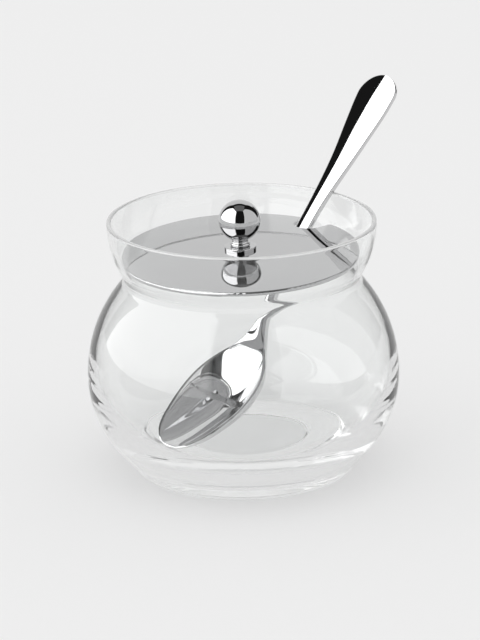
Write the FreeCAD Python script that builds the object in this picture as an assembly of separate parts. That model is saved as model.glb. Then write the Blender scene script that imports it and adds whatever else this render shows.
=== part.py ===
import FreeCAD, Part
import math
import os

from FreeCAD import Matrix, Placement, Rotation, Vector

# A glass jam pot with a notched steel lid, a ball knob on the lid and a long spoon.
# Sizes are in millimetres and degrees. The origin is the middle of the foot, +Z is up.

# Glass pot, outside
pot_height = 89.4
rim_radius = 46.9
collar_arc_radius = 36.0
belly_radius = 55.0
belly_height = 33.4
shoulder_arc_radius = 49.5
neck_fillet_radius = 3.5
lower_arc_radius = 39.2
lower_arc_end_height = 8.8
heel_arc_radius = 150.0
foot_edge_height = 1.1
foot_edge_inset = 0.6
punt_radius = 24.6
punt_depth = 0.9
punt_wall_slope = 0.5

# Glass pot, inside
rim_wall = 1.5
collar_inner_arc_radius = 33.7
neck_inner_fillet_radius = 6.0
belly_wall = 2.4
shoulder_inner_arc_radius = 47.2
lower_inner_arc_radius = 30.0
floor_thickness = 6.5

# Lid plate
lid_seat_depth = 14.45
lid_thickness = 1.4
lid_dome_radius = 1400.0
lid_dome_reach = 28.0
lid_roll_radius = 300.0
lid_edge_round = 0.5
lid_tilt = 2.35
lid_tilt_azimuth = 66.0
lid_shift = 0.5
lid_shift_azimuth = 167.0
notch_radius = 5.5
notch_end_radius = 30.5
notch_mouth_fillet = 1.6

# Knob
ball_radius = 7.3
stem_height = 2.6
stem_foot_radius = 3.0
stem_bulge = 0.5
stem_bulge_height = 1.4
stem_waist_share = 0.33
stem_waist_radius = 2.85
stem_top_radius = 3.3
collar_radius = 5.6
collar_height = 1.2
collar_edge_round = 0.25

# Screw and washer under the lid
screw_radius = 1.5
screw_clearance = 0.05
screw_depth_in_ball = 6.0
screw_tip_gap = 0.8
screw_head_radius = 2.8
screw_head_height = 1.8
screw_head_round = 0.6
screw_slot_width = 0.8
screw_slot_depth = 0.7
washer_radius = 4.5
washer_thickness = 0.8

# Spoon
spoon_length = 163.0
spoon_azimuth = 47.0
bowl_length = 54.6
bowl_heel_share = 0.42
bowl_width = 30.0
bowl_depth = 12.0
bowl_lean = 0.3
bowl_wall = 1.2
bowl_rake = 16.5
bowl_tip_rise = 10.3
bowl_tip_height = 14.0
face_crown = 0.45

# Stem and handle: widths at distances past the bowl's heel, then at shares of the straight run
stem_thickness = 2.3
root_reach = -6.0
root_width = 11.0
root_thinning = 0.8
shoulder_reach = -1.0
shoulder_width = 8.0
neck_reach = 4.0
neck_width = 5.2
stem_low_reach = 12.0
stem_low_width = 4.1
stem_high_reach = 26.0
stem_high_width = 3.7
stem_straight_start = 96.0
handle_start_width = 4.0
handle_slim_share = 0.28
handle_slim_width = 6.0
handle_middle_share = 0.48
handle_middle_width = 9.1
handle_broad_share = 0.68
handle_broad_width = 13.0
handle_widest_share = 0.85
handle_widest_width = 15.2
handle_end_thickness = 1.5
handle_end_radius = 7.8
handle_end_overrun = 1.0

# Running gaps between pieces that are free of each other
lid_seat_gap = 0.3
spoon_wall_gap = 0.8
spoon_rim_gap = 0.3


def arc(start, middle, end):
    return Part.Arc(start, middle, end).toShape()


def line(start, end):
    return Part.LineSegment(start, end).toShape()


def upper_point(centre, radius, height):
    """Point of a circle at a height, on the side away from the axis. Points hold radius and height."""
    rise = height - centre.z
    return Vector(centre.x + math.sqrt(radius ** 2 - rise ** 2), 0, height)


def upper_point_over(centre, radius, reach):
    """Point of a circle at a distance from the axis, on its upper side."""
    return Vector(reach, 0, centre.z + math.sqrt(radius ** 2 - (reach - centre.x) ** 2))


def arc_about(centre, radius, start, end):
    """Arc of a circle in the XZ plane from start to end, by its shorter way round."""
    middle = (start + end) * 0.5 - centre
    middle.normalize()
    return arc(start, centre + middle * radius, end)


def blend(first_centre, first_radius, second_centre, second_radius, radius):
    """Circle that touches two circles from outside, on the side away from the axis."""
    first_reach = first_radius + radius
    second_reach = second_radius + radius
    between = second_centre - first_centre
    spacing = between.Length
    along = (first_reach ** 2 - second_reach ** 2 + spacing ** 2) / (2 * spacing)
    across = math.sqrt(first_reach ** 2 - along ** 2)
    between.normalize()
    outward = Vector(between.z, 0, -between.x)
    centre = first_centre + between * along + outward * across
    first_touch = first_centre + (centre - first_centre) * (first_radius / first_reach)
    second_touch = second_centre + (centre - second_centre) * (second_radius / second_reach)
    return centre, first_touch, second_touch


# Circles that the walls of the pot follow
lip_height = pot_height - rim_wall / 2
belly_inner_radius = belly_radius - belly_wall
belly_inner_height = floor_thickness + lower_inner_arc_radius
collar_centre = Vector(rim_radius - collar_arc_radius, 0, lip_height)
shoulder_centre = Vector(belly_radius - shoulder_arc_radius, 0, belly_height)
lower_centre = Vector(belly_radius - lower_arc_radius, 0, belly_height)
collar_inner_centre = Vector(rim_radius - rim_wall - collar_inner_arc_radius, 0, lip_height)
shoulder_inner_centre = Vector(belly_inner_radius - shoulder_inner_arc_radius, 0, belly_inner_height)
lower_inner_centre = Vector(belly_inner_radius - lower_inner_arc_radius, 0, belly_inner_height)


def collar_inner_height(radius):
    """Height at which the inside of the flared collar has a radius."""
    reach = radius - collar_inner_centre.x
    return collar_inner_centre.z - math.sqrt(collar_inner_arc_radius ** 2 - reach ** 2)


def collar_inner_radius(depth):
    """Radius of the inside of the flared collar at a depth below its lip."""
    return collar_inner_centre.x + math.sqrt(collar_inner_arc_radius ** 2 - depth ** 2)


# A level lid would lie in the collar at lid_seat_depth
lid_radius = collar_inner_radius(lid_seat_depth) - lid_seat_gap


def outer_wall():
    """Edges of the outside, from the middle of the underside up to the rim."""
    lower_end = upper_point(lower_centre, lower_arc_radius, lower_arc_end_height)
    heel_centre = lower_end + (lower_centre - lower_end) * (heel_arc_radius / lower_arc_radius)
    foot_edge = upper_point(heel_centre, heel_arc_radius, foot_edge_height)
    foot = Vector(foot_edge.x - foot_edge_inset, 0, 0)
    round_share = 1 - math.sqrt(0.5)
    foot_round = Vector(foot_edge.x - foot_edge_inset * round_share, 0, foot_edge_height * round_share)
    belly = Vector(belly_radius, 0, belly_height)
    neck = blend(shoulder_centre, shoulder_arc_radius, collar_centre, collar_arc_radius, neck_fillet_radius)
    neck_centre, neck_low, neck_high = neck
    rim = Vector(rim_radius, 0, lip_height)
    punt_middle = Vector(0, 0, punt_depth)
    punt_top = Vector(punt_radius - punt_wall_slope, 0, punt_depth)
    punt_edge = Vector(punt_radius, 0, 0)
    return [
        line(punt_middle, punt_top),
        line(punt_top, punt_edge),
        line(punt_edge, foot),
        arc(foot, foot_round, foot_edge),
        arc_about(heel_centre, heel_arc_radius, foot_edge, lower_end),
        arc_about(lower_centre, lower_arc_radius, lower_end, belly),
        arc_about(shoulder_centre, shoulder_arc_radius, belly, neck_low),
        arc_about(neck_centre, neck_fillet_radius, neck_low, neck_high),
        arc_about(collar_centre, collar_arc_radius, neck_high, rim),
    ]


def inner_wall():
    """Edges of the inside, from the rim down to the middle of the floor."""
    rim = Vector(rim_radius - rim_wall, 0, lip_height)
    neck = blend(
        shoulder_inner_centre,
        shoulder_inner_arc_radius,
        collar_inner_centre,
        collar_inner_arc_radius,
        neck_inner_fillet_radius,
    )
    neck_centre, neck_low, neck_high = neck
    belly = Vector(belly_inner_radius, 0, belly_inner_height)
    floor_edge = Vector(lower_inner_centre.x, 0, floor_thickness)
    floor_middle = Vector(0, 0, floor_thickness)
    return [
        arc_about(collar_inner_centre, collar_inner_arc_radius, rim, neck_high),
        arc_about(neck_centre, neck_inner_fillet_radius, neck_high, neck_low),
        arc_about(shoulder_inner_centre, shoulder_inner_arc_radius, neck_low, belly),
        arc_about(lower_inner_centre, lower_inner_arc_radius, belly, floor_edge),
        line(floor_edge, floor_middle),
    ]


def revolve(edges):
    face = Part.Face(Part.Wire(edges))
    return face.revolve(Vector(0, 0, 0), Vector(0, 0, 1), 360)


def glass_pot():
    """Blown pot with a round belly, a pinched neck and a flared collar above it."""
    outside = outer_wall()
    inside = inner_wall()
    lip = arc(
        Vector(rim_radius, 0, lip_height),
        Vector(rim_radius - rim_wall / 2, 0, pot_height),
        Vector(rim_radius - rim_wall, 0, lip_height),
    )
    middle = line(Vector(0, 0, floor_thickness), Vector(0, 0, punt_depth))
    return revolve(outside + [lip] + inside + [middle])


# Circles that the lid's section follows, with the top of its dome at height 0
dome_centre = Vector(0, 0, -lid_dome_radius)
roll_start = upper_point_over(dome_centre, lid_dome_radius, lid_dome_reach)
roll_centre = dome_centre + (roll_start - dome_centre) * (1 - lid_roll_radius / lid_dome_radius)


def lid_blank():
    """Disc of even thickness: a shallow dome that rolls down more steeply to a rounded edge."""
    under_dome = lid_dome_radius - lid_thickness
    under_roll = lid_roll_radius - lid_thickness
    under_start = dome_centre + (roll_start - dome_centre) * (under_dome / lid_dome_radius)
    hole = screw_radius + screw_clearance
    inner_edge = lid_radius - lid_edge_round
    top_middle = upper_point_over(dome_centre, lid_dome_radius, hole)
    top_edge = upper_point_over(roll_centre, lid_roll_radius, inner_edge)
    under_edge = upper_point_over(roll_centre, under_roll, inner_edge)
    under_middle = upper_point_over(dome_centre, under_dome, hole)
    side_top = Vector(lid_radius, 0, top_edge.z - lid_edge_round)
    side_low = Vector(lid_radius, 0, under_edge.z + lid_edge_round)
    lean = lid_edge_round * (1 - math.sqrt(0.5))
    top_round = Vector(lid_radius - lean, 0, top_edge.z - lean)
    low_round = Vector(lid_radius - lean, 0, under_edge.z + lean)
    return revolve([
        arc_about(dome_centre, lid_dome_radius, top_middle, roll_start),
        arc_about(roll_centre, lid_roll_radius, roll_start, top_edge),
        arc(top_edge, top_round, side_top),
        line(side_top, side_low),
        arc(side_low, low_round, under_edge),
        arc_about(roll_centre, under_roll, under_edge, under_start),
        arc_about(dome_centre, under_dome, under_start, under_middle),
        line(under_middle, top_middle),
    ])


def lid_edge_low():
    """Height of the lid's lower edge, measured from the top of its dome."""
    return upper_point_over(roll_centre, lid_roll_radius - lid_thickness, lid_radius - lid_edge_round).z


def notch_cutter():
    """U-shaped cutter for the spoon's notch, with rounded mouth corners, along +X."""
    centre_x = notch_end_radius + notch_radius
    low = lid_edge_low() - lid_thickness
    height = lid_thickness - low
    past_edge = lid_radius + notch_radius
    turn = notch_radius + notch_mouth_fillet
    mouth_x = math.sqrt((lid_radius - notch_mouth_fillet) ** 2 - turn ** 2)
    scale = lid_radius / (lid_radius - notch_mouth_fillet)
    edges = []
    for side in (1, -1):
        corner_centre = Vector(mouth_x, side * turn, low)
        touch_side = Vector(mouth_x, side * notch_radius, low)
        touch_edge = Vector(mouth_x * scale, side * turn * scale, low)
        inner = (touch_side + touch_edge) * 0.5 - corner_centre
        inner.normalize()
        corner = arc(touch_side, corner_centre + inner * notch_mouth_fillet, touch_edge)
        outside = Vector(past_edge, side * turn * scale, low)
        flank = line(Vector(centre_x, side * notch_radius, low), touch_side)
        edges.append([flank, corner, line(touch_edge, outside)])
    end = arc(
        Vector(centre_x, -notch_radius, low),
        Vector(notch_end_radius, 0, low),
        Vector(centre_x, notch_radius, low),
    )
    turn_out = turn * scale
    closing = line(Vector(past_edge, turn_out, low), Vector(past_edge, -turn_out, low))
    wire = Part.Wire(Part.__sortEdges__(edges[0] + edges[1] + [end, closing]))
    return Part.Face(wire).extrude(Vector(0, 0, height))


def lid_plate():
    plate = lid_blank()
    cutter = notch_cutter()
    cutter.rotate(Vector(0, 0, 0), Vector(0, 0, 1), spoon_azimuth)
    return plate.cut(cutter)


def screw_hole(low, high):
    radius = screw_radius + screw_clearance
    return Part.makeCylinder(radius, high - low, Vector(0, 0, low))


def knob_collar():
    """Flat disc between the top of the lid and the knob's neck."""
    disc = Part.makeCylinder(collar_radius, collar_height)
    disc = disc.makeFillet(collar_edge_round, [disc.Edges[0]])
    return disc.cut(screw_hole(0, collar_height))


def knob_stem():
    """Turned neck: a bulge at its foot, then a waist that flares to the ball."""
    low = collar_height
    bulge_top = low + stem_bulge_height
    high = low + stem_height
    hole = screw_radius + screw_clearance
    bulge = Vector(stem_foot_radius + stem_bulge, 0, (low + bulge_top) / 2)
    waist = Vector(stem_waist_radius, 0, bulge_top + stem_waist_share * (high - bulge_top))
    return revolve([
        arc(Vector(stem_foot_radius, 0, low), bulge, Vector(stem_foot_radius, 0, bulge_top)),
        arc(Vector(stem_foot_radius, 0, bulge_top), waist, Vector(stem_top_radius, 0, high)),
        line(Vector(stem_top_radius, 0, high), Vector(hole, 0, high)),
        line(Vector(hole, 0, high), Vector(hole, 0, low)),
        line(Vector(hole, 0, low), Vector(stem_foot_radius, 0, low)),
    ])


def ball_centre_height():
    """Height of the ball's centre, which is cut flat where it meets the stem's top."""
    sink = math.sqrt(ball_radius ** 2 - stem_top_radius ** 2)
    return collar_height + stem_height + sink


def knob_ball():
    """Ball with a small flat under it and a blind hole for the screw."""
    centre = ball_centre_height()
    flat = collar_height + stem_height
    ball = Part.makeSphere(ball_radius, Vector(0, 0, centre))
    trim = Part.makeCylinder(ball_radius, ball_radius, Vector(0, 0, flat - ball_radius))
    return ball.cut(trim).cut(screw_hole(flat, flat + screw_depth_in_ball + screw_tip_gap))


def washer_top():
    """Height at which the washer's rim touches the hollow underside of the dome."""
    return upper_point_over(dome_centre, lid_dome_radius - lid_thickness, washer_radius).z


def fixing_washer():
    """Thin washer between the screw's head and the lid."""
    low = washer_top() - washer_thickness
    disc = Part.makeCylinder(washer_radius, washer_thickness, Vector(0, 0, low))
    return disc.cut(screw_hole(low, low + washer_thickness))


def fixing_screw():
    """Slotted screw that holds the knob from beneath."""
    head_top = washer_top() - washer_thickness
    head_low = head_top - screw_head_height
    tip = collar_height + stem_height + screw_depth_in_ball
    head = Part.makeCylinder(screw_head_radius, screw_head_height, Vector(0, 0, head_low))
    head = head.makeFillet(screw_head_round, [head.Edges[2]])
    shank = Part.makeCylinder(screw_radius, tip - head_top, Vector(0, 0, head_top))
    slot = Part.makeBox(
        3 * screw_head_radius,
        screw_slot_width,
        screw_slot_depth,
        Vector(-1.5 * screw_head_radius, -screw_slot_width / 2, head_low),
    )
    return head.fuse(shank).cut(slot).removeSplitter()


def lid_place():
    """Where the tilted lid rests: a little off the axis, its lower edge on the collar's inside."""
    azimuth = math.radians(lid_tilt_azimuth)
    turn = Rotation(Vector(math.sin(azimuth), -math.cos(azimuth), 0), lid_tilt)
    shift_azimuth = math.radians(lid_shift_azimuth)
    shift = Vector(math.cos(shift_azimuth), math.sin(shift_azimuth), 0) * lid_shift
    height = 0.0
    for degrees in range(0, 360, 5):
        around = math.radians(degrees)
        edge = Vector(lid_radius * math.cos(around), lid_radius * math.sin(around), lid_edge_low())
        point = shift + turn.multVec(edge)
        seat = collar_inner_height(math.hypot(point.x, point.y) + lid_seat_gap)
        height = max(height, seat - point.z)
    return Placement(shift + Vector(0, 0, height), turn)


# Spoon, drawn along +X with its face up (+Y) and its width along Z
heel_length = bowl_length * bowl_heel_share
toe_length = bowl_length - heel_length
rake = math.radians(bowl_rake)
bowl_direction = Vector(math.cos(rake), -math.sin(rake), 0)
bowl_tip = Vector(0, bowl_tip_rise, 0)
bowl_heel = bowl_tip + bowl_direction * bowl_length
bowl_middle = bowl_tip + bowl_direction * toe_length


def quarter_bowl(length, half_width, depth):
    """Half of an egg-shaped hollow, below its rim, on the +X side of its widest place."""
    start = Vector(0, 0, 1)
    end = Vector(1, 0, 0)
    middle = Vector(math.sqrt(0.5), 0, math.sqrt(0.5))
    centre = Vector(0, 0, 0)
    outline = Part.Wire([arc(start, middle, end), line(end, centre), line(centre, start)])
    quarter = Part.Face(outline).revolve(centre, Vector(1, 0, 0), 180)
    stretch = Matrix()
    stretch.scale(Vector(length, depth, half_width))
    return quarter.transformGeometry(stretch)


def bowl_body(inset, depth):
    """Egg-shaped lump below the rim plane, drawn in by inset, whose depths lean towards the heel."""
    half_width = bowl_width / 2 - inset
    heel_side = quarter_bowl(heel_length - inset, half_width, depth)
    toe_side = quarter_bowl(toe_length - inset, half_width, depth)
    toe_side = toe_side.mirror(Vector(0, 0, 0), Vector(1, 0, 0))
    body = heel_side.fuse(toe_side)
    lean = Matrix()
    lean.A12 = -bowl_lean
    body = body.transformGeometry(lean)
    body.rotate(Vector(0, 0, 0), Vector(0, 0, 1), -bowl_rake)
    body.translate(bowl_middle)
    return body


def spine(x):
    """Centre height and slope of the stem and handle at a distance along the spoon."""
    span = stem_straight_start - bowl_heel.x
    left = max(0.0, 1 - (x - bowl_heel.x) / span)
    if x < bowl_heel.x:
        behind = x - bowl_heel.x
        return bowl_heel.y - stem_thickness / 2 - behind * math.tan(rake), -math.tan(rake) / 2
    drop = bowl_heel.y - stem_thickness / 2
    return drop * left ** 2, -2 * drop * left / span


def section(x, width, thickness, crown):
    """Closed outline of the handle at a station: crowned face and back, straight sides."""
    height, slope = spine(x)
    up = Vector(-slope, 1, 0)
    up.normalize()
    centre = Vector(x, height, 0)
    half = width / 2
    edge = thickness / 2 - crown

    def at(rise, side):
        return centre + up * rise + Vector(0, 0, side)

    face = arc(at(edge, -half), at(thickness / 2, 0), at(edge, half))
    back = arc(at(-edge, half), at(-thickness / 2, 0), at(-edge, -half))
    right = line(at(edge, half), at(-edge, half))
    left = line(at(-edge, -half), at(edge, -half))
    return Part.Wire([face, right, back, left])


def handle_blank():
    """Stem and handle as one lofted bar that runs a little past the handle's end."""
    heel = bowl_heel.x
    start = stem_straight_start
    run = spoon_length - start
    thick = stem_thickness
    thin = handle_end_thickness
    middle_thick = (thick + thin) / 2
    shoulder_thick = thick * (1 + root_thinning) / 2
    crown = face_crown
    stations = [
        (heel + root_reach, root_width, thick * root_thinning, crown / 2),
        (heel + shoulder_reach, shoulder_width, shoulder_thick, crown / 2),
        (heel + neck_reach, neck_width, thick, crown),
        (heel + stem_low_reach, stem_low_width, thick, crown),
        (heel + stem_high_reach, stem_high_width, thick, crown),
        (start, handle_start_width, thick, crown),
        (start + handle_slim_share * run, handle_slim_width, thick, crown),
        (start + handle_middle_share * run, handle_middle_width, middle_thick, crown),
        (start + handle_broad_share * run, handle_broad_width, thin, crown),
        (start + handle_widest_share * run, handle_widest_width, thin, crown),
        (spoon_length + handle_end_overrun, 2 * handle_end_radius, thin, crown),
    ]
    wires = [section(*station) for station in stations]
    return Part.makeLoft(wires, True, False)


def handle_end_trim():
    """What is cut away outside the round end of the handle."""
    reach = 2 * handle_end_radius
    centre_x = spoon_length - handle_end_radius
    block = Part.makeBox(2 * reach, 2 * reach, 2 * reach, Vector(centre_x, -reach, -reach))
    round_end = Part.makeCylinder(handle_end_radius, 4 * reach, Vector(centre_x, -2 * reach, 0), Vector(0, 1, 0))
    return block.cut(round_end)


def spoon_shape():
    """Egg-shaped bowl, stem and spatulate handle in one piece."""
    handle = handle_blank().cut(handle_end_trim())
    solid = bowl_body(0.0, bowl_depth).fuse(handle)
    hollow = bowl_body(bowl_wall, bowl_depth - bowl_wall)
    return solid.cut(hollow).removeSplitter()


def spoon_place():
    """Where the spoon rests: its tip on the wall inside, its handle on the round lip."""
    tip_out = upper_point(lower_inner_centre, lower_inner_arc_radius, bowl_tip_height).x - spoon_wall_gap
    tip = Vector(-tip_out, 0, bowl_tip_height)
    lip_middle = Vector(rim_radius - rim_wall / 2, 0, lip_height)
    reach = lip_middle - tip
    offset = bowl_tip_rise + stem_thickness / 2 + spoon_rim_gap + rim_wall / 2
    lean = math.degrees(math.atan2(reach.x, reach.z) - math.asin(offset / reach.Length))
    upright = Rotation(Vector(1, 0, 0), 90)
    leaning = Rotation(Vector(0, 1, 0), lean - 90)
    turned = Rotation(Vector(0, 0, 1), spoon_azimuth)
    turn = turned.multiply(leaning).multiply(upright)
    foot = turned.multVec(tip) - turn.multVec(bowl_tip)
    return Placement(foot, turn)


def placed(shape, place):
    moved = shape.copy()
    moved.Placement = place.multiply(moved.Placement)
    return moved


def build():
    lid = lid_place()
    spoon = spoon_place()
    return {
        "glass_pot": glass_pot(),
        "lid_plate": placed(lid_plate(), lid),
        "knob_collar": placed(knob_collar(), lid),
        "knob_stem": placed(knob_stem(), lid),
        "knob_ball": placed(knob_ball(), lid),
        "fixing_washer": placed(fixing_washer(), lid),
        "fixing_screw": placed(fixing_screw(), lid),
        "spoon": placed(spoon_shape(), spoon),
    }


os.makedirs("parts", exist_ok=True)
for name, shape in build().items():
    shape.exportStep(os.path.join("parts", name + ".step"))
    print(name, "solids", len(shape.Solids), "valid", shape.isValid(), "volume", round(shape.Volume, 1))
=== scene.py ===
"""Looks of a glass jam pot with a notched steel lid, a ball knob and a long spoon.

All sizes are written in millimetres and turned into metres where a mesh is made.
The row frame has its origin in the middle of the foot, with +Z up.
"""

import logging
import math
from dataclasses import dataclass, field
from enum import Enum
from typing import Optional, Sequence, Union

import bmesh
import bpy
import numpy as np
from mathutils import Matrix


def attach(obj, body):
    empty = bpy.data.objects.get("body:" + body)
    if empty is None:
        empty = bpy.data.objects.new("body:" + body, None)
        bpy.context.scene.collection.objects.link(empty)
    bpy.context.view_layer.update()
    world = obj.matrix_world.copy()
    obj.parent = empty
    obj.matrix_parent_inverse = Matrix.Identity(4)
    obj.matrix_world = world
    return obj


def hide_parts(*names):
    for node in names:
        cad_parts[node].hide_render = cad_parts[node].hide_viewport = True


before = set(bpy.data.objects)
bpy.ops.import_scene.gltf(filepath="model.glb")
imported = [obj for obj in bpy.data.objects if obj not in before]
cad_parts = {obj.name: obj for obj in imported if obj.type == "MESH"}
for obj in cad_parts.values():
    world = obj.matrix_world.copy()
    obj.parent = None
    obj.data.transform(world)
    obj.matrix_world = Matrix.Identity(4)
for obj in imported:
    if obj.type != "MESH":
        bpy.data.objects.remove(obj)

MM = 0.001
LOG = logging.getLogger("jam_pot")

Array = np.ndarray
Number = Union[int, float]


class Body(Enum):
    """The bodies that pieces ride on."""

    POT = "pot"
    LID = "lid"
    SPOON = "spoon"


# ---- meshes ----


def arc(centre: Sequence[float], radius: float, start: Sequence[float], end: Sequence[float], count: int) -> Array:
    """Points on a circle from start to end by the shorter way.

    The angle runs evenly from the start's to the end's: point = centre + radius * (cos a, sin a).

    Args:
        centre: Middle of the circle, as radius and height.
        radius: Radius of the circle.
        start: Where the arc starts.
        end: Where it ends.
        count: How many points, both ends included.

    Returns:
        An array of count rows of radius and height.
    """
    first = math.atan2(start[1] - centre[1], start[0] - centre[0])
    last = math.atan2(end[1] - centre[1], end[0] - centre[0])
    turn = (last - first + math.pi) % (2 * math.pi) - math.pi
    angle = first + turn * np.linspace(0.0, 1.0, count)
    return np.stack([centre[0] + radius * np.cos(angle), centre[1] + radius * np.sin(angle)], axis=-1)


def straight(start: Sequence[float], end: Sequence[float], count: int) -> Array:
    """Evenly spaced points from start to end: point = start + t * (end - start)."""
    share = np.linspace(0.0, 1.0, count)[:, None]
    return np.asarray(start, float) + share * (np.asarray(end, float) - np.asarray(start, float))


def chained(parts: Sequence[Array]) -> Array:
    """Joins runs of points into one line and leaves out points that repeat the one before."""
    line = np.vstack(parts)
    step = np.linalg.norm(np.diff(line, axis=0), axis=1)
    return line[np.concatenate([[True], step > 1e-6])]


def smooth_step(value: Array) -> Array:
    """Ease from 0 to 1: 3 t^2 - 2 t^3 with t held between 0 and 1."""
    t = np.clip(value, 0.0, 1.0)
    return t * t * (3.0 - 2.0 * t)


def soft_max(first: Array, second: Array, blend: Union[float, Array]) -> Array:
    """The larger of two values, rounded where they cross: half of (a + b + sqrt((a - b)^2 + k^2))."""
    return 0.5 * (first + second + np.sqrt((first - second) ** 2 + np.asarray(blend) ** 2))


@dataclass
class Skin:
    """A grid of points that becomes a closed mesh.

    Rows run along the piece and columns run round it; the last column joins the first.
    """

    points: Array

    def faces(self) -> Array:
        """Quads between neighbouring rows and columns, as indices into the flattened grid."""
        rows, columns, _ = self.points.shape
        row, column = np.meshgrid(np.arange(rows - 1), np.arange(columns), indexing="ij")
        after = (column + 1) % columns
        quads = [row * columns + column, row * columns + after, (row + 1) * columns + after, (row + 1) * columns + column]
        return np.stack(quads, axis=-1).reshape(-1, 4)

    def piece(self, name: str) -> bpy.types.Object:
        """Makes the object, welds its poles and points its faces outwards.

        Args:
            name: The piece's name.

        Returns:
            The object, at the origin, with its place in its mesh.
        """
        quads = self.faces()
        mesh = bpy.data.meshes.new(name)
        flat = (self.points * MM).reshape(-1, 3)
        mesh.vertices.add(len(flat))
        mesh.vertices.foreach_set("co", flat.ravel().astype(np.float32))
        mesh.loops.add(quads.size)
        mesh.loops.foreach_set("vertex_index", quads.ravel().astype(np.int32))
        mesh.polygons.add(len(quads))
        mesh.polygons.foreach_set("loop_start", np.arange(0, quads.size, 4, dtype=np.int32))
        mesh.update(calc_edges=True)
        welded = bmesh.new()
        welded.from_mesh(mesh)
        bmesh.ops.remove_doubles(welded, verts=welded.verts, dist=1e-7)
        bmesh.ops.dissolve_degenerate(welded, edges=welded.edges, dist=1e-8)
        bmesh.ops.recalc_face_normals(welded, faces=welded.faces)
        welded.to_mesh(mesh)
        welded.free()
        mesh.polygons.foreach_set("use_smooth", np.ones(len(mesh.polygons), dtype=bool))
        mesh.update()
        made = bpy.data.objects.new(name, mesh)
        bpy.context.scene.collection.objects.link(made)
        return made


# ---- shader nodes ----


class Reading:
    """A number in a node tree. Python's signs on it add Math nodes."""

    def __init__(self, board: "Board", socket: bpy.types.NodeSocket) -> None:
        """Keeps the board it is on and the socket that gives the number."""
        self.board = board
        self.socket = socket

    def _math(self, operation: str, first: Union["Reading", Number], second: Union["Reading", Number]) -> "Reading":
        """Adds one Math node for two values and returns what it gives."""
        return self.board.add("ShaderNodeMath", {"operation": operation}, {0: first, 1: second})

    def __add__(self, other: Union["Reading", Number]) -> "Reading":
        """self + other."""
        return self._math("ADD", self, other)

    def __radd__(self, other: Number) -> "Reading":
        """other + self."""
        return self._math("ADD", other, self)

    def __sub__(self, other: Union["Reading", Number]) -> "Reading":
        """self - other."""
        return self._math("SUBTRACT", self, other)

    def __rsub__(self, other: Number) -> "Reading":
        """other - self."""
        return self._math("SUBTRACT", other, self)

    def __mul__(self, other: Union["Reading", Number]) -> "Reading":
        """self * other."""
        return self._math("MULTIPLY", self, other)

    def __rmul__(self, other: Number) -> "Reading":
        """other * self."""
        return self._math("MULTIPLY", other, self)

    def __truediv__(self, other: Union["Reading", Number]) -> "Reading":
        """self / other."""
        return self._math("DIVIDE", self, other)

    def __pow__(self, other: Number) -> "Reading":
        """self to the power other."""
        return self._math("POWER", self, other)

    def clamped(self) -> "Reading":
        """Self held between 0 and 1."""
        held = self._math("ADD", self, 0.0)
        held.socket.node.use_clamp = True
        return held


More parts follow.
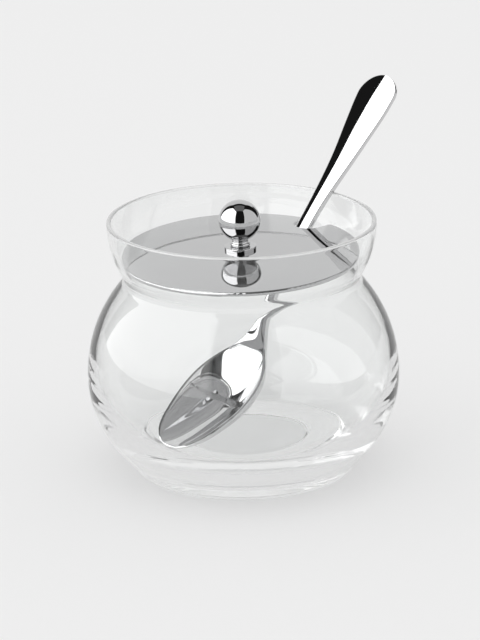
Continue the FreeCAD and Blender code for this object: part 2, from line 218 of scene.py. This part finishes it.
class Board:
    """The node tree of one material or of the world."""

    def __init__(self, owner: Union[bpy.types.Material, bpy.types.World]) -> None:
        """Empties the owner's tree and keeps it."""
        owner.use_nodes = True
        self.tree = owner.node_tree
        self.tree.nodes.clear()

    def add(self, kind: str, settings: Optional[dict] = None, inputs: Optional[dict] = None, output: Union[int, str] = 0) -> Reading:
        """Adds a node.

        Args:
            kind: The node's type.
            settings: Its properties, set before its sockets. "stops" gives a ramp's positions and greys.
            inputs: Its sockets by name or number, each a value, a Reading or a socket.
            output: The socket that is returned.

        Returns:
            The chosen output as a Reading.
        """
        node = self.tree.nodes.new(kind)
        for name, value in (settings or {}).items():
            if name == "stops":
                self._set_stops(node, value)
            else:
                setattr(node, name, value)
        for name, value in (inputs or {}).items():
            socket = node.inputs[name]
            if isinstance(value, Reading):
                self.tree.links.new(value.socket, socket)
            else:
                socket.default_value = value
        return Reading(self, node.outputs[output])

    @staticmethod
    def _set_stops(node: bpy.types.Node, stops: Sequence[tuple]) -> None:
        """Gives a ramp its stops: pairs of a position and a grey."""
        elements = node.color_ramp.elements
        while len(elements) < len(stops):
            elements.new(1.0)
        for element, (position, grey) in zip(elements, stops):
            element.position = position
            element.color = (grey, grey, grey, 1.0)

    def place(self) -> Reading:
        """Object coordinates, in metres, which stay on the piece as it moves."""
        return self.add("ShaderNodeTexCoord", output="Object")

    def noise(self, scale: float, detail: float = 2.0, roughness: float = 0.5, where: Optional[Reading] = None) -> Reading:
        """Smooth noise of about 0.5 on average, scale features to the metre."""
        where = where or self.place()
        return self.add("ShaderNodeTexNoise", {"noise_dimensions": "3D"}, {"Vector": where, "Scale": scale, "Detail": detail, "Roughness": roughness})

    def squeezed(self, scale: Sequence[float], where: Optional[Reading] = None) -> Reading:
        """Coordinates multiplied axis by axis, for patterns that are drawn out one way."""
        where = where or self.place()
        return self.add("ShaderNodeVectorMath", {"operation": "MULTIPLY"}, {0: where, 1: tuple(scale)})

    def grey_between(self, share: Reading, low: Sequence[float], high: Sequence[float]) -> Reading:
        """A colour from low to high by share."""
        settings = {"data_type": "RGBA", "clamp_factor": True}
        made = self.add("ShaderNodeMix", settings, {"Factor": share, 6: (*low, 1.0), 7: (*high, 1.0)}, output=2)
        return made

    def bump(self, height: Reading, distance: float, strength: float = 1.0, below: Optional[Reading] = None) -> Reading:
        """A normal that leans as if the height were real, distance metres tall."""
        inputs = {"Strength": strength, "Distance": distance, "Height": height}
        if below is not None:
            inputs["Normal"] = below
        return self.add("ShaderNodeBump", None, inputs)

    def path_depth(self, kind: str) -> Reading:
        """How often light has been bent or mirrored on its way, kind being Glossy or Transmission."""
        return self.add("ShaderNodeLightPath", output=kind + " Depth")

    def same(self, first: Reading, second: Number) -> Reading:
        """1 where a whole number is the second one, else 0."""
        return self.add("ShaderNodeMath", {"operation": "COMPARE"}, {0: first, 1: second, 2: 0.5})

    def mirrored(self) -> Reading:
        """1 for light that steel has mirrored, else 0.

        Light that the glass turns round inside its own wall leaves it bent for the second time, and is left out.
        """
        leaving = self.add("ShaderNodeLightPath", output="Is Transmission Ray")
        inside_glass = self.same(self.path_depth("Transmission"), 2) * leaving
        return self.path_depth("Glossy").clamped() * (1.0 - inside_glass)

    def finish_surface(self, shader: Reading) -> None:
        """Ends the tree at the surface."""
        self.add_output("ShaderNodeOutputMaterial", shader)

    def add_output(self, kind: str, shader: Reading) -> None:
        """Adds an output node of a kind and links the shader to its surface."""
        node = self.tree.nodes.new(kind)
        self.tree.links.new(shader.socket, node.inputs["Surface"])


# ---- finishes ----


@dataclass(frozen=True)
class ClearGlass:
    """Clear blown glass: nearly colourless, with slow waves in its wall and a breath of handling on it.

    From the stated height up, its lip is mixed with an opaque pale shader: a painted highlight that makes the rim show
    white.
    """

    name: str = "clear_glass"
    refraction: float = 1.5
    tint_thin: tuple = (0.985, 0.99, 0.988)
    tint_thick: tuple = (0.965, 0.972, 0.97)
    wave_height: float = 0.00012
    wave_scale: float = 26.0
    streak_height: float = 0.00003
    # From lip_height up the lip gets a painted highlight; the share below is how much pale shader is mixed in.
    lip_height: float = 0.0885
    rim_highlight_share: float = 0.6

    def material(self) -> bpy.types.Material:
        """Builds the material."""
        made = bpy.data.materials.new(self.name)
        board = Board(made)
        slow = board.noise(self.wave_scale, detail=1.5)
        streaks = board.noise(1.0, detail=2.0, where=board.squeezed((90.0, 90.0, 14.0)))
        tint = board.grey_between(slow, self.tint_thin, self.tint_thick)
        waves = board.bump(slow, self.wave_height)
        normal = board.bump(streaks, self.streak_height, below=waves)
        hazy = board.noise(60.0, detail=3.0)
        clear = board.add("ShaderNodeBsdfPrincipled", None, {
            "Base Color": tint,
            "Roughness": (hazy - 0.45).clamped() * 0.02,
            "IOR": self.refraction,
            "Transmission Weight": 1.0,
            "Normal": normal,
        })
        # Painted highlight: above lip_height the glass is mixed with an opaque pale shader, so the rim shows white.
        height = board.add("ShaderNodeSeparateXYZ", None, {"Vector": board.place()}, output="Z")
        lip = ((height - self.lip_height) / 0.0004).clamped() * self.rim_highlight_share
        bright = board.add("ShaderNodeBsdfPrincipled", None, {"Base Color": (0.97, 0.975, 0.972, 1.0), "Roughness": 0.2})
        board.finish_surface(board.add("ShaderNodeMixShader", None, {0: lip, 1: clear, 2: bright}))
        return made


@dataclass(frozen=True)
class Steel:
    """Stainless steel from a mirror polish to a plain machined skin.

    Attributes:
        name: The material's name.
        dark: Colour where the polish is deepest.
        light: Colour where fine wipe marks catch the light.
        polish: Lowest roughness.
        haze: How much roughness the wipe marks add.
        grain: Features to the metre along X, Y and Z.
        grain_height: Depth of the grain in metres.
    """

    name: str
    dark: tuple = (0.565, 0.565, 0.57)
    light: tuple = (0.61, 0.61, 0.615)
    polish: float = 0.015
    haze: float = 0.03
    grain: tuple = (220.0, 220.0, 220.0)
    grain_height: float = 0.000002

    def material(self) -> bpy.types.Material:
        """Builds the material."""
        made = bpy.data.materials.new(self.name)
        board = Board(made)
        cloudy = board.noise(70.0, detail=4.0)
        wiped = board.noise(1.0, detail=3.0, where=board.squeezed(self.grain))
        colour = board.grey_between(cloudy, self.dark, self.light)
        roughness = self.polish + self.haze * (wiped - 0.4).clamped()
        normal = board.bump(wiped, self.grain_height)
        board.finish_surface(board.add("ShaderNodeBsdfPrincipled", None, {
            "Base Color": colour,
            "Metallic": 1.0,
            "Roughness": roughness,
            "Normal": normal,
        }))
        return made


@dataclass(frozen=True)
class StudioPaper:
    """Pale paper under the pot. Part of its light is its own, so that it stays even."""

    name: str = "studio_paper"
    tone: float = 0.862
    own_light: float = 0.6
    fleck: float = 0.004

    def material(self) -> bpy.types.Material:
        """Builds the material."""
        made = bpy.data.materials.new(self.name)
        board = Board(made)
        fleck = board.noise(900.0, detail=3.0)
        low = self.tone - self.fleck
        high = self.tone + self.fleck
        colour = board.grey_between(fleck, (low, low, low), (high, high, high))
        lit = board.add("ShaderNodeBsdfDiffuse", None, {"Color": colour})
        own = board.add("ShaderNodeEmission", None, {"Color": colour, "Strength": 1.0})
        board.finish_surface(board.add("ShaderNodeMixShader", None, {0: self.own_light, 1: lit, 2: own}))
        return made


@dataclass(frozen=True)
class PanelGlow:
    """Even white glow of a studio panel that fades towards one of its sides.

    Attributes:
        name: The material's name.
        strength: Brightness in the middle, where 1 is white.
        edge_strength: Brightness at the faded side.
        fade: Share of the panel's width over which it fades.
        mirrored: Share of the brightness that polished steel shows.
    """

    name: str
    strength: float
    edge_strength: float
    fade: float
    mirrored: float = 1.0

    def material(self) -> bpy.types.Material:
        """Builds the material, which reads the panel's own UV map."""
        made = bpy.data.materials.new(self.name)
        board = Board(made)
        where = board.add("ShaderNodeUVMap", {"uv_map": "panel"})
        across = board.add("ShaderNodeSeparateXYZ", None, {"Vector": where}, output="X")
        share = (across / max(self.fade, 1e-3)).clamped()
        strength = self.edge_strength + (self.strength - self.edge_strength) * share
        strength = strength * (1.0 - (1.0 - self.mirrored) * board.mirrored())
        board.finish_surface(board.add("ShaderNodeEmission", None, {"Color": (1.0, 1.0, 1.0, 1.0), "Strength": strength}))
        return made


# ---- the pot ----


@dataclass
class GlassPot:
    """Blown pot: round belly, pinched neck and flared collar, turned from one profile."""

    height: float = 89.4
    rim_radius: float = 46.9
    collar_arc: float = 36.0
    belly_radius: float = 55.0
    belly_height: float = 33.4
    shoulder_arc: float = 49.5
    neck_fillet: float = 3.5
    lower_arc: float = 39.2
    lower_arc_end: float = 8.8
    heel_arc: float = 150.0
    foot_edge_height: float = 1.1
    foot_edge_inset: float = 0.6
    punt_radius: float = 24.6
    punt_depth: float = 0.9
    punt_slope: float = 0.5
    rim_wall: float = 1.5
    collar_inner_arc: float = 33.7
    neck_inner_fillet: float = 6.0
    belly_wall: float = 2.4
    shoulder_inner_arc: float = 47.2
    lower_inner_arc: float = 30.0
    floor_thickness: float = 6.5
    around: int = 288
    finish: ClearGlass = field(default_factory=ClearGlass)

    @property
    def lip_height(self) -> float:
        """Height of the middle of the round lip."""
        return self.height - self.rim_wall / 2

    @staticmethod
    def on_circle(centre: Sequence[float], radius: float, height: float) -> tuple:
        """The point of a circle at a height, on the side away from the axis."""
        return centre[0] + math.sqrt(radius ** 2 - (height - centre[1]) ** 2), height

    @staticmethod
    def fillet(low: tuple, low_radius: float, high: tuple, high_radius: float, radius: float) -> tuple:
        """Circle that touches two circles from outside: its centre and both points of touch.

        The centre lies where circles about both centres, each larger by the fillet's radius, cross.

        Args:
            low: Centre of the lower circle.
            low_radius: Its radius.
            high: Centre of the upper circle.
            high_radius: Its radius.
            radius: The fillet's radius.

        Returns:
            The fillet's centre, its touch on the lower circle and its touch on the upper one.
        """
        first, second = np.asarray(low, float), np.asarray(high, float)
        near, far = low_radius + radius, high_radius + radius
        between = second - first
        spacing = float(np.linalg.norm(between))
        along = (near ** 2 - far ** 2 + spacing ** 2) / (2 * spacing)
        across = math.sqrt(near ** 2 - along ** 2)
        between /= spacing
        centre = first + between * along + np.array([between[1], -between[0]]) * across
        return centre, first + (centre - first) * low_radius / near, second + (centre - second) * high_radius / far

    def outside(self) -> Array:
        """Profile from the middle of the underside up to the lip, as radius and height."""
        shoulder = (self.belly_radius - self.shoulder_arc, self.belly_height)
        lower = (self.belly_radius - self.lower_arc, self.belly_height)
        collar = (self.rim_radius - self.collar_arc, self.lip_height)
        low_end = self.on_circle(lower, self.lower_arc, self.lower_arc_end)
        share = self.heel_arc / self.lower_arc
        heel = (low_end[0] + (lower[0] - low_end[0]) * share, low_end[1] + (lower[1] - low_end[1]) * share)
        edge = self.on_circle(heel, self.heel_arc, self.foot_edge_height)
        foot = (edge[0] - self.foot_edge_inset, 0.0)
        belly = (self.belly_radius, self.belly_height)
        neck, neck_low, neck_high = self.fillet(shoulder, self.shoulder_arc, collar, self.collar_arc, self.neck_fillet)
        bend = math.atan2(self.foot_edge_height, self.foot_edge_inset)
        turn = np.linspace(0.0, 1.0, 9)[:, None]
        corner = np.array([foot[0] + self.foot_edge_inset * 0.9 * math.cos(bend / 3), 0.0])
        foot_round = (1 - turn) ** 2 * np.array(foot) + 2 * turn * (1 - turn) * corner + turn ** 2 * np.array(edge)
        return chained([
            straight((0.0, self.punt_depth), (self.punt_radius - self.punt_slope, self.punt_depth), 12),
            straight((self.punt_radius - self.punt_slope, self.punt_depth), (self.punt_radius, 0.0), 4),
            straight((self.punt_radius, 0.0), foot, 8),
            foot_round,
            arc(heel, self.heel_arc, edge, low_end, 30),
            arc(lower, self.lower_arc, low_end, belly, 24),
            arc(shoulder, self.shoulder_arc, belly, neck_low, 48),
            arc(neck, self.neck_fillet, neck_low, neck_high, 14),
            arc(collar, self.collar_arc, neck_high, (self.rim_radius, self.lip_height), 30),
        ])

    def inside(self) -> Array:
        """Profile from the lip down to the middle of the floor, as radius and height."""
        wide = self.belly_radius - self.belly_wall
        wide_height = self.floor_thickness + self.lower_inner_arc
        shoulder = (wide - self.shoulder_inner_arc, wide_height)
        lower = (wide - self.lower_inner_arc, wide_height)
        collar = (self.rim_radius - self.rim_wall - self.collar_inner_arc, self.lip_height)
        neck, neck_low, neck_high = self.fillet(
            shoulder, self.shoulder_inner_arc, collar, self.collar_inner_arc, self.neck_inner_fillet
        )
        return chained([
            arc(collar, self.collar_inner_arc, (self.rim_radius - self.rim_wall, self.lip_height), neck_high, 30),
            arc(neck, self.neck_inner_fillet, neck_high, neck_low, 14),
            arc(shoulder, self.shoulder_inner_arc, neck_low, (wide, wide_height), 44),
            arc(lower, self.lower_inner_arc, (wide, wide_height), (lower[0], self.floor_thickness), 44),
            straight((lower[0], self.floor_thickness), (0.0, self.floor_thickness), 12),
        ])

    def lip(self) -> Array:
        """Half circle over the rim."""
        turn = np.linspace(0.0, math.pi, 13)
        middle = self.rim_radius - self.rim_wall / 2
        return np.stack([middle + self.rim_wall / 2 * np.cos(turn), self.lip_height + self.rim_wall / 2 * np.sin(turn)], axis=-1)

    def inner_radius_at(self, height: float) -> float:
        """Radius of the inside of the belly at a height below its widest place."""
        wide_height = self.floor_thickness + self.lower_inner_arc
        centre = (self.belly_radius - self.belly_wall - self.lower_inner_arc, wide_height)
        return self.on_circle(centre, self.lower_inner_arc, height)[0]

    def build(self) -> bpy.types.Object:
        """Turns the profile about the Z axis: point = (r cos a, r sin a, z)."""
        profile = chained([self.outside(), self.lip(), self.inside()])
        angle = np.linspace(0.0, 2 * math.pi, self.around, endpoint=False)
        radius, height = profile[:, 0, None], profile[:, 1, None]
        points = np.stack([radius * np.cos(angle), radius * np.sin(angle), np.broadcast_to(height, (len(profile), self.around))], axis=-1)
        piece = Skin(points).piece("glass_pot_blown")
        piece.data.materials.append(self.finish.material())
        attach(piece, Body.POT.value)
        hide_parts("glass_pot")
        return piece


# ---- the lid ----


@dataclass
class Lid:
    """The lid with its knob and its fixing, all CAD nodes that get a finish."""

    plate: Steel = field(default_factory=lambda: Steel(
        "lid_mirror_steel", dark=(0.535, 0.535, 0.54), light=(0.575, 0.575, 0.58), grain=(30.0, 340.0, 200.0)
    ))
    knob: Steel = field(default_factory=lambda: Steel("knob_mirror_steel", polish=0.01, haze=0.02))
    plain: Steel = field(default_factory=lambda: Steel(
        "fixing_plain_steel", dark=(0.50, 0.50, 0.505), light=(0.60, 0.60, 0.605), polish=0.18, haze=0.2, grain=(900.0, 900.0, 60.0)
    ))

    def build(self) -> list:
        """Gives each node its finish and returns the nodes' objects."""
        finishes = {
            "lid_plate": self.plate.material(),
            "knob_collar": self.knob.material(),
        }
        finishes["knob_stem"] = finishes["knob_collar"]
        finishes["knob_ball"] = finishes["knob_collar"]
        finishes["fixing_washer"] = self.plain.material()
        finishes["fixing_screw"] = finishes["fixing_washer"]
        dressed = []
        for node, material in finishes.items():
            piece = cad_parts[node]
            if not piece.material_slots:
                piece.data.materials.append(material)
            for slot in piece.material_slots:
                slot.material = material
            dressed.append(piece)
        return dressed


# ---- the spoon ----


@dataclass
class Spoon:
    """Spoon with an egg-shaped bowl that flows into a slim stem and a wide, round-ended handle.

    It is drawn along +X from its tip, with its face up (+Y) and its width along Z, and then laid in the pot.
    """

    pot: GlassPot
    length: float = 163.0
    azimuth: float = 47.0
    bowl_length: float = 52.55
    heel_share: float = 0.425
    bowl_width: float = 30.7
    bowl_depth: float = 9.0
    hollow_depth: float = 7.8
    bowl_wall: float = 1.2
    bowl_rake: float = 17.7
    bowl_lean: float = 0.1
    side_ease: float = 0.9
    toe_ease: float = 0.9
    heel_ease: float = 1.4
    heel_blend: float = 5.0
    tip_rise: float = 9.55
    tip_height: float = 13.55
    stem_start: float = 96.0
    stem_half_width: float = 1.95
    stem_thickness: float = 2.3
    shoulder_blend: float = 1.6
    handle_widths: tuple = (
        (48.0, 8.2), (50.0, 7.5), (52.0, 6.5), (54.0, 5.4), (56.0, 4.1), (58.0, 2.9), (60.0, 2.1), (63.0, 1.9), (86.0, 1.95), (98.0, 2.75), (108.0, 2.9), (112.0, 3.15), (116.0, 3.5),
        (120.0, 3.85), (128.0, 4.8), (136.0, 5.95), (144.0, 7.2), (152.0, 8.2), (157.0, 8.3),
    )
    sway_steps: tuple = ((-20.0, -10.0, 0.8), (52.0, 98.0, -1.5), (102.0, 134.0, 1.25), (146.0, 156.0, -0.2))
    handle_thickness: float = 1.7
    handle_end_radius: float = 8.3
    crown: float = 0.45
    wall_gap: float = 0.88
    rim_gap: float = 0.3
    finish: Steel = field(default_factory=lambda: Steel(
        "spoon_mirror_steel", dark=(0.68, 0.68, 0.685), light=(0.72, 0.72, 0.725), polish=0.012, haze=0.02
    ))

    @property
    def toe(self) -> float:
        """Length of the bowl from its widest place to its tip."""
        return self.bowl_length * (1 - self.heel_share)

    @property
    def heel(self) -> float:
        """Length of the bowl from its widest place to its heel."""
        return self.bowl_length * self.heel_share

    def stations(self) -> Array:
        """Distances from the tip, closer together at both round ends and at the heel."""
        toe = self.toe * (1 - np.cos(np.linspace(0.0, math.pi / 2, 60)))
        heel = np.linspace(self.toe, self.bowl_length + 12.0, 90)
        stem = np.linspace(self.bowl_length + 12.0, self.length - self.handle_end_radius, 90)
        end = self.length - self.handle_end_radius * (1 - np.sin(np.linspace(0.0, math.pi / 2, 40)))
        return np.unique(np.concatenate([toe, heel, stem, end]))

    def path(self, x: Array) -> tuple:
        """Height and slope of the face's middle line over distance.

        The bowl's rim falls in a straight line. Past the heel a parabola climbs to the straight handle.
        The two meet in a rounded maximum.

        Args:
            x: Distances along the spoon.

        Returns:
            The heights and the slopes.
        """
        rake = math.radians(self.bowl_rake)
        heel_x = self.bowl_length * math.cos(rake)
        heel_y = self.tip_rise - self.bowl_length * math.sin(rake)
        rim = self.tip_rise - x * math.tan(rake)
        drop = heel_y - self.stem_thickness / 2
        left = np.clip(1 - (x - heel_x) / (self.stem_start - heel_x), 0.0, None)
        stem = drop * left ** 2 + self.stem_thickness / 2
        height = soft_max(rim, stem, self.heel_blend)
        return height, np.gradient(height, x)

    def egg_share(self, s: Array, inset: float = 0.0) -> Array:
        """Distance from the bowl's widest place over its reach, which eases from the toe's to the heel's."""
        bowl_x = s - self.toe
        reach = self.toe + (self.heel - self.toe) * smooth_step((bowl_x + self.toe * 0.8) / (self.toe * 0.8 + self.heel * 0.8))
        return bowl_x / (reach - inset)

    def half_width(self, s: Array) -> Array:
        """Half width over distance: half an egg, rounded into the stem, which widens to the handle's round end.

        The stem's and handle's width is the mean over 8 mm of straight runs between the stated widths.
        """
        egg = self.bowl_width / 2 * np.sqrt(np.clip(1 - self.egg_share(s) ** 2, 0.0, None))
        places, widths = np.array(self.handle_widths).T
        stem = np.mean([np.interp(s + offset, places, widths) for offset in np.linspace(-4.0, 4.0, 9)], axis=0)
        stem = stem * smooth_step((s - self.toe) / (self.heel * 0.8))
        blend = self.shoulder_blend * smooth_step((s - self.toe - self.heel * 0.3) / (self.heel * 0.6))
        blend = blend * (1 - smooth_step((s - self.bowl_length - 4.0) / 14.0))
        joined = soft_max(egg, stem, blend)
        from_end = np.clip(s - (self.length - self.handle_end_radius), 0.0, self.handle_end_radius)
        round_end = np.sqrt(self.handle_end_radius ** 2 - from_end ** 2)
        return np.where(s > self.length - self.handle_end_radius, np.minimum(joined, round_end), joined)

    def sway(self, s: Array) -> Array:
        """How far the middle line lies to the side: the sum of eased steps, each with its start, end and size."""
        return sum(size * smooth_step((s - start) / (end - start)) for start, end, size in self.sway_steps)

    def section_columns(self) -> tuple:
        """Shares of the half width for the face and the back, denser at the edges."""
        turn = np.linspace(-math.pi / 2, math.pi / 2, 61)
        return np.sin(turn), np.sin(turn[::-1])

    def local_points(self) -> Array:
        """Grid of points in the spoon's own frame.

        In each section the face lies below the path by the hollow, depth * (1 - l^2)^p * (1 - c^2)^q with l the
        share of the bowl's length and c the share of its width, or by the handle's crown. The back is the deeper
        of the same form without the wall and of the stem's thickness. What lies deeper leans towards the heel.
        """
        s = self.stations()[:, None]
        half = self.half_width(s)
        stem_share = smooth_step((s - self.toe - self.heel * 0.35) / (self.heel * 0.65 + 3.0))
        to_handle = smooth_step((s - self.stem_start) / (self.length - 10.0 - self.stem_start))
        thickness = (self.stem_thickness + (self.handle_thickness - self.stem_thickness) * to_handle) * stem_share
        crown = self.crown * smooth_step((s - self.bowl_length) / 10.0)
        crown = crown * np.where(s > self.length - self.handle_end_radius, (half / self.handle_end_radius) ** 2, 1.0)
        along = np.clip(1 - self.egg_share(s) ** 2, 0.0, None)
        inner_along = np.clip(1 - self.egg_share(s, self.bowl_wall) ** 2, 0.0, None)
        ease = self.toe_ease + (self.heel_ease - self.toe_ease) * smooth_step(s / self.bowl_length)
        back_depth = self.bowl_depth * np.sqrt(along)
        hollow_depth = self.hollow_depth * inner_along ** ease
        face, back = self.section_columns()
        inset = np.clip(1 - self.bowl_wall / np.maximum(half, 1e-6), 0.3, 1.0)
        flat = np.linspace(0.0, 1.0, 5)[1:-1]
        left_rim = -1 + (1 - inset) * flat
        right_rim = -left_rim[:, ::-1]
        face_share = np.concatenate([-np.ones_like(half), left_rim, face * inset, right_rim, np.ones_like(half)], axis=1)
        hollow = hollow_depth * np.clip(1 - (face_share / inset) ** 2, 0.0, None) ** self.side_ease
        face_down = hollow + crown * face_share ** 2
        round_back = back_depth * np.sqrt(np.clip(1 - back ** 2, 0.0, None))
        back_down = soft_max(round_back, np.broadcast_to(thickness, round_back.shape), 0.8 * stem_share)
        back_down = np.maximum(back_down, 0.0)
        side = np.linspace(0.0, 1.0, 4)[1:-1]
        right_side = face_down[:, -1:] + (back_down[:, :1] - face_down[:, -1:]) * side
        left_side = back_down[:, -1:] + (face_down[:, :1] - back_down[:, -1:]) * side
        ones = np.ones((len(half), len(side)))
        share = np.concatenate([face_share, ones, np.broadcast_to(back, (len(half), len(back))), -ones], axis=1)
        down = np.concatenate([face_down, right_side, back_down, left_side], axis=1)
        rake = math.radians(self.bowl_rake)
        along_x = s * math.cos(rake)
        beyond = np.clip(s - self.bowl_length, 0.0, None)
        along_x = np.where(s > self.bowl_length, self.bowl_length * math.cos(rake) + beyond * (self.length - self.bowl_length * math.cos(rake)) / (self.length - self.bowl_length), along_x)
        height, slope = self.path(along_x[:, 0])
        size = np.sqrt(1 + slope ** 2)
        normal_x, normal_y = (-slope / size)[:, None], (1 / size)[:, None]
        tangent_x, tangent_y = normal_y, -normal_x
        lean = self.bowl_lean * (1 - stem_share) * down
        x = along_x - normal_x * down + tangent_x * lean
        y = height[:, None] - normal_y * down + tangent_y * lean
        z = share * half + self.sway(s)
        return np.stack([x, y, z], axis=-1)

    def laid(self, points: Array) -> Array:
        """Lays the spoon in the pot: its tip on the wall inside, its handle's back on the rim.

        The lean from upright is the angle of the line from the tip to the rim, less the angle whose sine is the
        handle's offset over that line's length.

        Args:
            points: Points in the spoon's own frame.

        Returns:
            The points in the row frame.
        """
        azimuth = math.radians(self.azimuth)
        out = np.array([math.cos(azimuth), math.sin(azimuth), 0.0])
        up = np.array([0.0, 0.0, 1.0])
        tip_radius = self.pot.inner_radius_at(self.tip_height) - self.wall_gap
        reach_out = self.pot.rim_radius - self.pot.rim_wall / 2 + tip_radius
        reach_up = self.pot.lip_height - self.tip_height
        offset = self.tip_rise + (self.stem_thickness + self.pot.rim_wall) / 2 + self.rim_gap
        lean = math.atan2(reach_out, reach_up) - math.asin(offset / math.hypot(reach_out, reach_up))
        along = math.sin(lean) * out + math.cos(lean) * up
        face = -math.cos(lean) * out + math.sin(lean) * up
        across = np.cross(along, face)
        tip = -tip_radius * out + self.tip_height * up
        start = tip - face * self.tip_rise
        return start + points[..., :1] * along + points[..., 1:2] * face + points[..., 2:] * across

    def build(self) -> bpy.types.Object:
        """Builds the spoon and dresses it."""
        piece = Skin(self.laid(self.local_points())).piece("spoon_forged")
        piece.data.materials.append(self.finish.material())
        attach(piece, Body.SPOON.value)
        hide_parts("spoon")
        return piece


# ---- the studio ----


@dataclass
class Panel:
    """A flat upright studio panel that faces the pot from an azimuth.

    Attributes:
        name: The panel's name.
        azimuth: Degrees from straight behind the pot towards the right.
        distance: From the pot's axis, in metres.
        outline: Corners in the panel's plane, in metres to the right as seen from the pot, and up.
            The first side is the one that fades.
        glow: The panel's light.
    """

    name: str
    azimuth: float
    distance: float
    outline: tuple
    glow: PanelGlow

    def build(self) -> bpy.types.Object:
        """Makes the panel as one quad with its own UV map, hidden from the camera."""
        turn = math.radians(self.azimuth)
        out = np.array([math.sin(turn), math.cos(turn), 0.0]) * self.distance
        right = np.array([math.cos(turn), -math.sin(turn), 0.0])
        up = np.array([0.0, 0.0, 1.0])
        outline = np.asarray(self.outline, float)
        points = out + outline[:, :1] * right + outline[:, 1:] * up
        mesh = bpy.data.meshes.new(self.name)
        mesh.from_pydata([tuple(point) for point in points.tolist()], [], [(0, 1, 2, 3)])
        layer = mesh.uv_layers.new(name="panel")
        layer.data.foreach_set("uv", np.array([0, 0, 1, 0, 1, 1, 0, 1], dtype=np.float32))
        return staged(self.name, mesh, self.glow.material(), seen=False)


def staged(name: str, mesh: bpy.types.Mesh, material: bpy.types.Material, seen: bool) -> bpy.types.Object:
    """Puts a studio mesh into the scene.

    Args:
        name: The object's name.
        mesh: Its mesh, already in place.
        material: Its material.
        seen: Whether the camera sees it.

    Returns:
        The object.
    """
    made = bpy.data.objects.new(name, mesh)
    bpy.context.scene.collection.objects.link(made)
    made.data.materials.append(material)
    made.visible_camera = seen
    return made


@dataclass
class Studio:
    """Pale floor, two large soft panels, a pale backdrop, a ceiling and dark gaps that only steel mirrors."""

    floor_reach: float = 6.0
    paper: StudioPaper = field(default_factory=StudioPaper)
    gap: float = 0.012
    pale: float = 0.862

    def floor(self) -> bpy.types.Object:
        """Large sheet of paper at the foot's height."""
        reach = self.floor_reach
        mesh = bpy.data.meshes.new("paper_floor")
        mesh.from_pydata([(-reach, -reach, 0.0), (reach, -reach, 0.0), (reach, reach, 0.0), (-reach, reach, 0.0)], [], [(0, 1, 2, 3)])
        return staged("paper_floor", mesh, self.paper.material(), seen=True)

    def ceiling(self) -> bpy.types.Object:
        """Soft light from above, which steel shows only dimly."""
        mesh = bpy.data.meshes.new("ceiling")
        mesh.from_pydata([(-1.5, -1.5, 4.0), (1.5, -1.5, 4.0), (1.5, 1.2, 4.0), (-1.5, 1.2, 4.0)], [], [(0, 3, 2, 1)])
        mesh.uv_layers.new(name="panel")
        return staged("ceiling", mesh, PanelGlow("ceiling_glow", 1.6, 1.6, 0.1, mirrored=0.11).material(), seen=False)

    def panels(self) -> list:
        """The upright panels: a bright one at the left, a dimmer one at the right and the backdrop."""
        return [
            Panel("left_softbox", -108.0, 1.6, ((-1.907, 0.02), (2.3, 0.02), (0.80, 3.65), (-1.45, 3.65)), PanelGlow("left_glow", 1.1, 0.15, 0.12, mirrored=2.4)),
            Panel("right_softbox", 110.0, 1.6, ((1.545, 0.02), (-1.777, 0.02), (-0.25, 3.68), (0.75, 3.68)), PanelGlow("right_glow", 0.8, 1.17, 0.15)),
            Panel("backdrop", 0.0, 1.7, ((-1.7, 0.02), (1.7, 0.02), (1.3, 2.9), (-1.3, 2.9)), PanelGlow("backdrop_glow", 0.862, 0.862, 0.1)),
        ]

    def world(self) -> None:
        """The paper's tone all round, but dark gaps where steel mirrors the space between the panels."""
        world = bpy.data.worlds.new("studio_space")
        bpy.context.scene.world = world
        board = Board(world)
        strength = self.pale - (self.pale - self.gap) * board.mirrored()
        shader = board.add("ShaderNodeBackground", None, {"Color": (1.0, 1.0, 1.0, 1.0), "Strength": strength})
        board.add_output("ShaderNodeOutputWorld", shader)

    def build(self) -> None:
        """Sets the whole studio."""
        self.floor()
        self.ceiling()
        for panel in self.panels():
            panel.build()
        self.world()


@dataclass
class PhotoCamera:
    """Camera at the photograph's place: level with the horizon but for a slight roll.

    Attributes:
        back: Distance in front of the pot's axis, in metres.
        height: Height above the floor, in metres.
        pitch: Degrees below the horizon.
        roll: Degrees that the picture is turned.
        lens: Focal length for a 36 mm sensor on the long side.
        shift: Sideways shift as a share of the long side.
    """

    back: float = 0.880
    height: float = 0.34604
    pitch: float = 18.465
    roll: float = 0.8
    lens: float = 148.48
    shift: float = -0.0044

    def build(self) -> bpy.types.Object:
        """Makes the camera and gives it to the scene."""
        data = bpy.data.cameras.new("photo_camera")
        data.lens = self.lens
        data.sensor_width = 36.0
        data.shift_x = self.shift
        data.clip_start = 0.01
        camera = bpy.data.objects.new("photo_camera", data)
        camera.location = (0.0, -self.back, self.height)
        camera.rotation_euler = (math.radians(90.0 - self.pitch), math.radians(0.0), 0.0)
        camera.rotation_euler.rotate_axis("Z", math.radians(-self.roll))
        bpy.context.scene.collection.objects.link(camera)
        bpy.context.scene.camera = camera
        return camera


def set_render_paths() -> None:
    """Lets light pass through both walls of the pot and plays it back plainly."""
    scene = bpy.context.scene
    scene.view_settings.view_transform = "Standard"
    scene.cycles.max_bounces = 24
    scene.cycles.transmission_bounces = 24
    scene.cycles.glossy_bounces = 10
    scene.cycles.transparent_max_bounces = 12


def main() -> None:
    """Builds every piece in order and reports it."""
    logging.basicConfig(level=logging.INFO, format="%(message)s")
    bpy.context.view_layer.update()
    PhotoCamera().build()
    Studio().build()
    pot = GlassPot()
    LOG.info("pot: %d faces", len(pot.build().data.polygons))
    for piece in Lid().build():
        LOG.info("lid: %s", piece.name)
    LOG.info("spoon: %d faces", len(Spoon(pot).build().data.polygons))
    set_render_paths()


if __name__ == "__main__":
    main()
